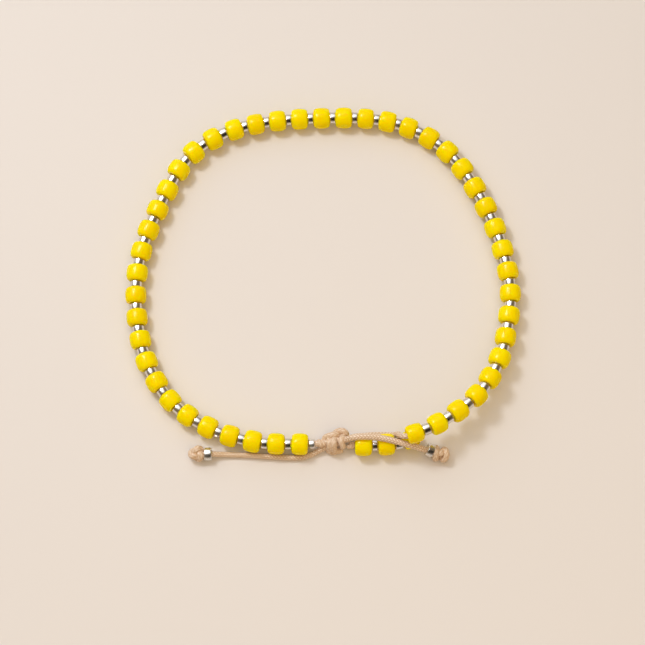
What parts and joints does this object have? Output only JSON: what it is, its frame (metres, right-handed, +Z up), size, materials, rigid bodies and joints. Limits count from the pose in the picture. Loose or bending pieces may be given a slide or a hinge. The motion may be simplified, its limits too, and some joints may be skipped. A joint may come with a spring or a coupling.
{
  "type": "seed bead bracelet",
  "caption": "Adjustable bracelet of glossy seed beads with small steel beads between them on a braided cord, closed by a sliding knot, with bead and knot tails.",
  "frame": {"origin": "on the surface that the bracelet lies on, under the centre of the bead strand's outline", "axes": "+Z up from the surface; -Y towards the sliding knot; +X towards the side of the strand whose end is raised on the short strand"},
  "size_m": [0.0748, 0.0693, 0.0085],
  "materials": {
    "yellow_glass": "opaque, glossy",
    "polished_steel": "polished",
    "braided_cord": "braided, matt, with a paler fleck"
  },
  "bodies": {
    "root": {"strand_raised_end": "yellow_glass", "strand_right": "yellow_glass", "strand_back_right": "yellow_glass", "strand_back": "yellow_glass", "strand_back_left": "yellow_glass", "strand_left": "yellow_glass", "strand_front": "yellow_glass", "short_strand": "yellow_glass", "stopper_knot": "braided_cord", "sliding_knot": "braided_cord", "draw_cord": "braided_cord", "left_tail": "braided_cord", "left_tail_bead": "polished_steel", "left_end_knot": "braided_cord", "right_tail": "braided_cord", "right_tail_bead": "polished_steel", "right_end_knot": "braided_cord"}
  },
  "joints": []
}
